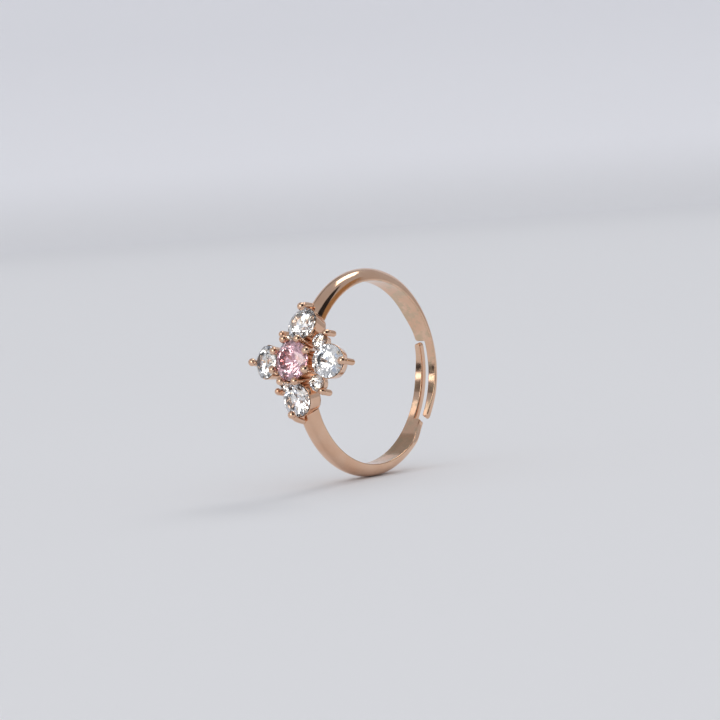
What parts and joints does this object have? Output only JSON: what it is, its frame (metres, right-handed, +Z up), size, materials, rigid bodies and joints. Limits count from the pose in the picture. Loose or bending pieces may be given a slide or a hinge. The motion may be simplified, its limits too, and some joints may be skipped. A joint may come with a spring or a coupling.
{
  "type": "cocktail ring",
  "caption": "Flower-head cocktail ring with a pink centre stone, clear petal stones, ball-tipped claws and an open adjustable band.",
  "frame": {"origin": "centre of the finger opening, on the finger's axis, midway across the band", "axes": "+X along the finger, +Z up with the ring standing on its band, -Y towards the flower, which is tipped up by 12 degrees"},
  "size_m": [0.0118, 0.0213, 0.0196],
  "materials": {
    "rose_gold": "polished rose gold plate over cast brass",
    "clear_stone": "polished facets",
    "pink_stone": "polished facets"
  },
  "bodies": {
    "flower_head": {"centre_cup": "rose_gold", "centre_stone": "pink_stone", "left_claw_first": "rose_gold", "left_claw_second": "rose_gold", "left_petal_cup": "rose_gold", "left_petal_prong": "rose_gold", "left_petal_stone": "clear_stone", "lower_claw_first": "rose_gold", "lower_claw_second": "rose_gold", "lower_left_accent_cup": "rose_gold", "lower_left_accent_prong": "rose_gold", "lower_left_accent_stone": "clear_stone", "lower_petal_cup": "rose_gold", "lower_petal_prong": "rose_gold", "lower_petal_stone": "clear_stone", "lower_right_accent_cup": "rose_gold", "lower_right_accent_prong": "rose_gold", "lower_right_accent_stone": "clear_stone", "lower_shoulder": "rose_gold", "right_claw_first": "rose_gold", "right_claw_second": "rose_gold", "right_petal_cup": "rose_gold", "right_petal_prong": "rose_gold", "right_petal_stone": "clear_stone", "upper_claw_first": "rose_gold", "upper_claw_second": "rose_gold", "upper_left_accent_cup": "rose_gold", "upper_left_accent_prong": "rose_gold", "upper_left_accent_stone": "clear_stone", "upper_petal_cup": "rose_gold", "upper_petal_prong": "rose_gold", "upper_petal_stone": "clear_stone", "upper_right_accent_cup": "rose_gold", "upper_right_accent_prong": "rose_gold", "upper_right_accent_stone": "clear_stone", "upper_shoulder": "rose_gold"},
    "upper_arm": {"upper_arm_band": "rose_gold"},
    "lower_arm": {"lower_arm_band": "rose_gold"}
  },
  "joints": [
    {"name": "upper_arm_bend", "type": "hinge", "parent": "flower_head", "child": "upper_arm", "pos_m": [0, -0.00662, 0.00736], "axis": [1, 0, 0], "range_deg": [0, 9]},
    {"name": "lower_arm_bend", "type": "hinge", "parent": "flower_head", "child": "lower_arm", "pos_m": [0, -0.00904, -0.00403], "axis": [-1, 0, 0], "range_deg": [0, 9]}
  ]
}
